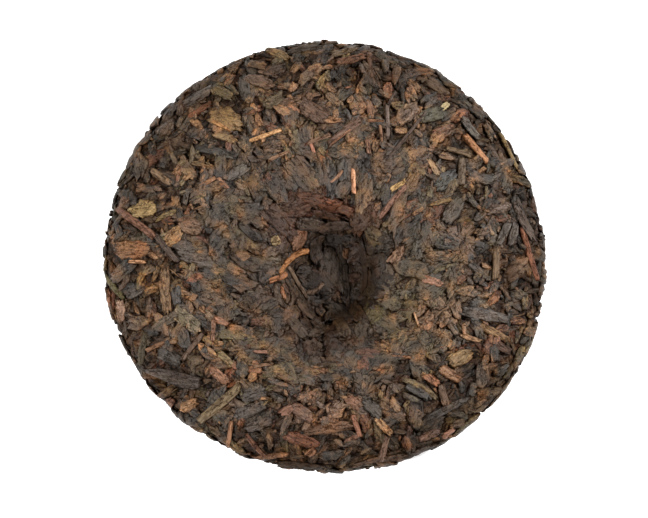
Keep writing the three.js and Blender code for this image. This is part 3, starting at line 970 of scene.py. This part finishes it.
SHOWN_STALKS = [Shown(*row)._replace(ends=STALK_ENDS) for row in (
    ((114, 207), (155, 236), 8, (116, 82, 64)),
    ((153, 234), (178, 261), 7, (80, 65, 55)),
    ((211, 120), (232, 132), 5, (170, 124, 78)),
    ((128, 262), (146, 262), 4, (180, 134, 98)),
    ((249, 140), (280, 131), 5.5, (196, 150, 104)),
    ((269, 160), (289, 152), 4, (136, 104, 80)),
    ((308, 143), (330, 135), 5, (120, 92, 72)),
    ((311, 143), (314, 154), 4, (154, 104, 82)),
    ((329, 145), (362, 117), 8.5, (106, 82, 68)),
    ((332, 146), (360, 121), 2.5, (140, 100, 76)),
    ((387, 139), (388, 104), 4.5, (104, 88, 78)),
    ((388, 105), (396, 90), 4, (82, 68, 58)),
    ((368, 121), (384, 121), 3.5, (122, 86, 62)),
    ((381, 125), (382, 143), 3, (128, 94, 70)),
    ((368, 138), (369, 154), 5, (136, 102, 82)),
    ((354, 168), (353, 193), 5.5, (206, 150, 114)),
    ((391, 190), (406, 181), 6, (180, 146, 98)),
    ((378, 218), (407, 186), 6, (124, 90, 74)),
    ((387, 161), (427, 110), 4, (84, 68, 58)),
    ((465, 136), (488, 162), 7, (166, 118, 82)),
    ((521, 228), (537, 280), 6, (116, 76, 56)),
    ((500, 133), (517, 168), 6, (126, 106, 74)),
    ((463, 157), (461, 184), 8.5, (98, 82, 66)),
    ((446, 148), (473, 154), 6, (112, 92, 70), -0.03),
    ((496, 247), (496, 279), 8, (108, 86, 64)),
    ((413, 312), (419, 326), 2, (170, 130, 96)),
    ((390, 355), (411, 358), 5, (126, 88, 62)),
    ((353, 414), (360, 438), 6, (140, 96, 74)),
    ((387, 436), (380, 463), 7, (106, 82, 68)),
    ((232, 421), (229, 447), 5, (132, 96, 72)),
    ((198, 423), (240, 386), 10.5, (112, 94, 70)),
    ((146, 351), (165, 342), 5, (112, 80, 56)),
    ((181, 361), (204, 333), 6, (94, 74, 60)),
    ((214, 320), (212, 341), 5, (126, 92, 72)),
    ((254, 352), (268, 352), 5, (132, 96, 78)),
    ((253, 367), (270, 364), 5, (124, 94, 72)),
    ((276, 265), (307, 246), 5.5, (160, 110, 70), -0.06),
    ((268, 280), (287, 275), 5, (140, 94, 64)),
    ((288, 266), (308, 296), 5, (106, 86, 70), -0.03),
    ((307, 296), (325, 284), 5, (98, 78, 64), 0.12),
    ((331, 186), (342, 171), 4, (144, 108, 84), 0.1),
    ((274, 284), (281, 307), 4, (78, 63, 51), 0.14),
    ((293, 307), (290, 281), 4, (84, 68, 55), 0.12),
    ((478, 172), (486, 168), 5, (142, 108, 76)),
)]

SHOWN_LEAVES = [Shown(*row) for row in (
    ((131, 213), (156, 205), 19, (140, 116, 78)),
    ((155, 219), (177, 211), 7, (124, 104, 74)),
    ((115, 253), (150, 248), 19, (118, 84, 58), 0.05),
    ((165, 243), (182, 232), 16, (134, 102, 72)),
    ((178, 222), (202, 230), 17, (104, 80, 62)),
    ((187, 117), (211, 103), 8, (112, 76, 54)),
    ((209, 116), (242, 124), 26, (122, 96, 64)),
    ((118, 206), (131, 196), 12, (110, 84, 66)),
    ((215, 133), (236, 142), 9, (126, 102, 72)),
    ((246, 76), (271, 88), 14, (94, 74, 60), -0.03),
    ((243, 75), (246, 101), 13, (70, 63, 57)),
    ((266, 50), (289, 59), 10, (112, 92, 66)),
    ((212, 86), (233, 99), 14, (88, 74, 52)),
    ((265, 104), (284, 97), 15, (90, 76, 58), 0.1),
    ((301, 101), (325, 120), 20, (92, 70, 56)),
    ((288, 104), (302, 114), 4.5, (140, 100, 74)),
    ((256, 113), (261, 126), 7, (116, 88, 64)),
    ((337, 62), (364, 57), 9, (100, 70, 52)),
    ((333, 55), (357, 48), 9, (92, 77, 62)),
    ((285, 52), (324, 46), 9, (64, 55, 46)),
    ((399, 64), (393, 84), 9, (96, 72, 52)),
    ((428, 80), (449, 93), 14, (82, 64, 48)),
    ((408, 81), (419, 92), 9, (112, 84, 60)),
    ((328, 92), (340, 106), 9, (114, 92, 72)),
    ((322, 119), (341, 120), 8, (120, 90, 66)),
    ((367, 98), (372, 118), 8, (108, 80, 60)),
    ((441, 110), (449, 102), 7, (160, 142, 104)),
    ((434, 134), (454, 127), 10, (104, 75, 58)),
    ((428, 159), (439, 175), 7, (138, 112, 84)),
    ((487, 209), (513, 207), 13, (112, 95, 84), 0.0, (1.0, 0.3)),
    ((507, 277), (529, 259), 21, (98, 76, 58)),
    ((497, 244), (509, 223), 9, (80, 72, 65)),
    ((510, 245), (517, 224), 9, (78, 69, 62)),
    ((515, 206), (532, 239), 10, (78, 65, 56)),
    ((462, 236), (474, 224), 12, (102, 80, 62)),
    ((419, 278), (443, 285), 8, (136, 100, 80)),
    ((455, 303), (460, 319), 11, (112, 90, 72), 0.0, (1.0, 0.2)),
    ((462, 310), (508, 321), 13, (82, 74, 68)),
    ((479, 324), (509, 341), 8, (120, 92, 64), 0.0, (0.3, 1.0)),
    ((444, 222), (463, 200), 17, (82, 74, 66)),
    ((430, 206), (452, 199), 5, (122, 98, 68)),
    ((390, 262), (404, 247), 12, (120, 92, 72), 0.0, (1.0, 0.2)),
    ((176, 252), (224, 262), 26, (82, 72, 64)),
    ((144, 293), (161, 288), 8, (120, 92, 62)),
    ((163, 270), (167, 312), 12, (112, 86, 60), 0.02),
    ((147, 371), (200, 383), 16, (78, 68, 62), 0.0, (0.12, 1.0)),
    ((210, 367), (227, 383), 11, (134, 96, 72)),
    ((244, 396), (265, 390), 20, (78, 70, 64)),
    ((219, 352), (232, 366), 9, (118, 100, 72)),
    ((181, 409), (197, 401), 12, (132, 100, 72)),
    ((158, 352), (181, 361), 18, (70, 63, 57)),
    ((234, 418), (263, 404), 14, (80, 71, 64)),
    ((247, 430), (271, 420), 12, (76, 65, 58)),
    ((293, 407), (312, 420), 14, (102, 78, 64)),
    ((281, 415), (293, 407), 10, (126, 92, 75)),
    ((299, 433), (351, 424), 12, (112, 85, 66)),
    ((287, 434), (318, 446), 13, (104, 67, 48)),
    ((307, 456), (315, 449), 9, (122, 86, 64)),
    ((346, 396), (366, 413), 14, (122, 88, 68)),
    ((366, 400), (380, 417), 13, (74, 66, 59)),
    ((376, 418), (391, 435), 8, (148, 112, 78)),
    ((391, 399), (400, 412), 9, (122, 94, 68)),
    ((439, 368), (461, 380), 11, (134, 99, 72)),
    ((425, 374), (438, 386), 9, (134, 94, 70)),
    ((405, 377), (438, 398), 7, (100, 84, 60), -0.03),
    ((449, 362), (472, 354), 16, (118, 95, 66)),
    ((440, 385), (447, 406), 9, (98, 76, 60)),
    ((251, 461), (288, 453), 6, (116, 86, 66)),
    ((279, 463), (323, 468), 9, (56, 46, 38)),
    ((353, 466), (405, 454), 7, (74, 58, 47)),
    ((297, 249), (302, 224), 18, (110, 80, 62)),
    ((345, 259), (346, 248), 8, (92, 64, 44)),
    ((272, 242), (280, 240), 8, (134, 114, 84)),
    ((283, 288), (284, 298), 5, (136, 94, 66)),
    ((349, 277), (362, 276), 11, (62, 47, 38)),
    ((284, 206), (304, 197), 12, (65, 48, 38)),
    ((300, 196), (320, 201), 10, (80, 54, 41)),
    ((318, 201), (339, 206), 10, (88, 56, 40)),
    ((336, 207), (354, 213), 8, (86, 58, 43)),
    ((288, 214), (310, 210), 9, (72, 51, 40)),
    ((314, 212), (338, 217), 8, (70, 50, 39)),
    ((298, 222), (322, 226), 14, (72, 60, 52)),
    ((322, 228), (348, 223), 13, (70, 57, 49)),
    # The next twelve pieces lie in the dimple: their dark colours are partly darker leaf and partly painted
    # shade of the hollow
    ((312, 238), (320, 262), 17, (54, 44, 37)),
    ((338, 242), (346, 296), 12, (50, 41, 34)),
    ((360, 240), (366, 288), 13, (50, 40, 33)),
    ((326, 300), (350, 314), 15, (50, 42, 36)),
    ((297, 302), (312, 318), 13, (74, 60, 49)),
    ((366, 232), (386, 242), 15, (74, 60, 42)),
    ((366, 262), (386, 258), 14, (56, 46, 38)),
    ((362, 284), (382, 296), 15, (56, 46, 37)),
    ((352, 304), (368, 324), 13, (58, 46, 36)),
    ((338, 320), (346, 338), 14, (70, 56, 43)),
    ((310, 335), (328, 326), 12, (64, 53, 44)),
    ((290, 318), (304, 336), 12, (68, 55, 44)),
    ((121, 300), (120, 322), 10, (144, 116, 98)),
    ((104, 275), (124, 298), 7, (92, 84, 60)),
    ((127, 297), (143, 288), 11, (78, 69, 62)),
    ((176, 287), (177, 304), 12, (74, 69, 66)),
    ((152, 330), (194, 306), 11, (88, 75, 62)),
    ((146, 332), (140, 366), 9, (76, 67, 52)),
    ((214, 318), (227, 325), 10, (130, 92, 70)),
    ((184, 104), (212, 88), 14, (90, 81, 74)),
    ((160, 135), (174, 122), 12, (88, 74, 62)),
    ((186, 142), (236, 158), 10, (70, 64, 58)),
    ((228, 178), (246, 166), 13, (84, 76, 70)),
    ((150, 170), (172, 184), 8, (114, 91, 68)),
    ((199, 187), (216, 178), 5, (136, 98, 70)),
    ((216, 178), (229, 190), 6, (134, 96, 70)),
    ((420, 118), (446, 112), 15, (80, 75, 63)),
    ((436, 189), (456, 170), 15, (72, 69, 66)),
    ((462, 120), (478, 138), 10, (76, 70, 65)),
    ((404, 459), (437, 446), 8, (70, 60, 54)),
    ((460, 334), (482, 342), 6, (136, 104, 76)),
    ((491, 342), (511, 353), 10, (78, 57, 45)),
    ((406, 385), (428, 397), 9, (72, 66, 61)),
    ((420, 423), (468, 399), 8, (74, 67, 62)),
    ((420, 440), (440, 431), 11, (96, 76, 67)),
    ((443, 438), (453, 429), 7, (128, 93, 76)),
)]


def shown_ends(shown):
    """The chart places of both ends of shown pieces."""
    starts = chart_of_pixels(np.array([one.start for one in shown], float))
    return starts, chart_of_pixels(np.array([one.end for one in shown], float))


def near_shown(chart):
    """1 where a chart place lies under a shown piece, 0 well beside all of them."""
    starts = np.concatenate([shown_stalk_ends[0], shown_leaf_ends[0]])
    ends = np.concatenate([shown_stalk_ends[1], shown_leaf_ends[1]])
    reach = np.array([one.width for one in SHOWN_STALKS + SHOWN_LEAVES]) * PIXEL / 2
    way = ends - starts
    off = chart[:, None] - starts
    share = np.clip((off * way).sum(-1) / (way ** 2).sum(-1), 0, 1)
    distance = np.hypot(*np.moveaxis(off - share[..., None] * way, -1, 0))
    return (1 - smoothstep(distance, reach + SHOWN_BORDER[0], reach + SHOWN_BORDER[1])).max(1)


def shown_pieces(name, kind, seed, shown, piece_ends, material, rise, stand):
    """One mesh of pieces that lie where the photograph shows them."""
    rng = np.random.default_rng(seed)
    starts, ends = piece_ends
    lengths = np.hypot(*(ends - starts).T)
    widths = np.array([one.width for one in shown]) * PIXEL
    bends = np.array([one.bend for one in shown])
    shares = np.array([one.ends for one in shown])
    chart = (starts + ends) / 2
    headings = np.arctan2(*(ends - starts).T[::-1])
    upper = np.ones(len(shown), bool)
    sheets = make_sheets(rng, kind, lengths, widths, bends, shares)
    laid = lay(rng, sheets, chart, upper, headings, np.full(len(shown), rise), stand)
    tints = np.array([leaf(*one.colour) for one in shown])[:, None, None]
    rims = tints * SHOWN_WORN_GAIN
    closed_sheets(name, kind, laid, tints, rims, sheen_left(chart, upper), material)


# Light, floor and camera

WORLD_LIGHT = 0.22
WHITE = (1, 1, 1, 1)
FLOOR_SIZE = 6
FLOOR_COLOUR = (0.9, 0.9, 0.9, 1)
FLOOR_ROUGHNESS = 0.9
FLOOR_GLOW = 0.7
LIGHT_SIZE = 0.15
LIGHTS = (("key", (1.3, 0.55, 1.0), 45), ("fill", (-1.3, -0.6, 1.0), 36))


def make_stage():
    bpy.ops.mesh.primitive_plane_add(size=FLOOR_SIZE)
    floor = bpy.context.object
    floor.name = "floor"
    nodes = Nodes("pale_floor")
    nodes.shader.inputs["Base Color"].default_value = FLOOR_COLOUR
    nodes.shader.inputs["Roughness"].default_value = FLOOR_ROUGHNESS
    nodes.shader.inputs["Emission Color"].default_value = WHITE
    nodes.shader.inputs["Emission Strength"].default_value = FLOOR_GLOW
    floor.data.materials.append(nodes.material)
    world = bpy.data.worlds.new("soft_room")
    world.use_nodes = True
    background = world.node_tree.nodes["Background"]
    background.inputs["Color"].default_value = WHITE
    background.inputs["Strength"].default_value = WORLD_LIGHT
    bpy.context.scene.world = world


def add_light(name, place, power):
    light = bpy.data.lights.new(name, "AREA")
    light.size = LIGHT_SIZE
    light.energy = power
    lamp = bpy.data.objects.new(name, light)
    lamp.location = place
    lamp.rotation_euler = (-Vector(place)).to_track_quat("-Z", "Y").to_euler()
    bpy.context.scene.collection.objects.link(lamp)


def make_camera():
    lens = bpy.data.cameras.new("camera")
    lens.lens = CAMERA_LENS
    lens.sensor_width = SENSOR_WIDTH
    camera = bpy.data.objects.new("camera", lens)
    camera.location = Vector(camera_place * MM)
    camera.rotation_euler = Vector(camera_forward).to_track_quat("-Z", "Y").to_euler()
    bpy.context.scene.collection.objects.link(camera)
    bpy.context.scene.camera = camera


make_camera()
make_stage()
for light_name, light_place, light_power in LIGHTS:
    add_light(light_name, light_place, light_power)
bpy.context.scene.view_settings.view_transform = "Standard"

pressed = leaf_material("pressed_leaf", streak=0.18, roughness=0.4, contrast=0.6, patches=0.5)
smooth_leaf = leaf_material("smooth_leaf", streak=0.14, roughness=0.38, contrast=0.58, patches=0.5)
shown_leaf = leaf_material("shown_leaf", streak=0.25, roughness=0.42, contrast=0.55, patches=0.3)
wood = leaf_material("leaf_stalk", streak=0.3, roughness=0.5, contrast=0.3, patches=0.0)
shown_stalk_ends = shown_ends(SHOWN_STALKS)
shown_leaf_ends = shown_ends(SHOWN_LEAVES)
make_bed(pressed)

# Name, kind, seed, count, palette shares, material, jitter, and the first and last shares of the section
for scattered in (
    ("broad_flakes", FLAKE, 11, 460, FLAKE_SHARES, pressed, 2.5, 0.38, 0.76),
    ("small_flakes", SMALL_FLAKE, 12, 560, FLAKE_SHARES, pressed, 2.5, 0.38, 0.8),
    ("middle_flakes", FLAKE, 18, 320, FLAKE_SHARES, pressed, 2.5, 0.38, 0.76),
    ("inner_flakes", INNER_FLAKE, 19, 440, INNER_SHARES, smooth_leaf, 3, 0.68, 1.0),
    ("chips", CHIP, 20, 520, CHIP_SHARES, shown_leaf, 3, 0.6, 0.97),
    ("rolled_leaves", ROLLED, 13, 450, ROLLED_SHARES, pressed, 3, 0.38, 0.8),
    ("under_leaves", UNDER_FLAKE, 17, 600, FLAKE_SHARES, pressed, 3, 0.0, 0.42),
    ("stalks", STALK, 14, 90, STALK_SHARES, wood, 5, 0.0, 1.0),
    ("crumbs", CRUMB, 15, 1100, CRUMB_SHARES, pressed, 2.5, 0.35, 0.82),
    ("fibres", FIBRE, 16, 220, FIBRE_SHARES, wood, 4, 0.35, 1.0),
):
    scatter(*scattered)
shown_pieces("shown_stalks", STALK, 21, SHOWN_STALKS, shown_stalk_ends, wood, rise=1.8, stand=0.5)
shown_pieces("shown_leaves", SHOWN_FLAKE, 22, SHOWN_LEAVES, shown_leaf_ends, shown_leaf, rise=1.5, stand=0.35)
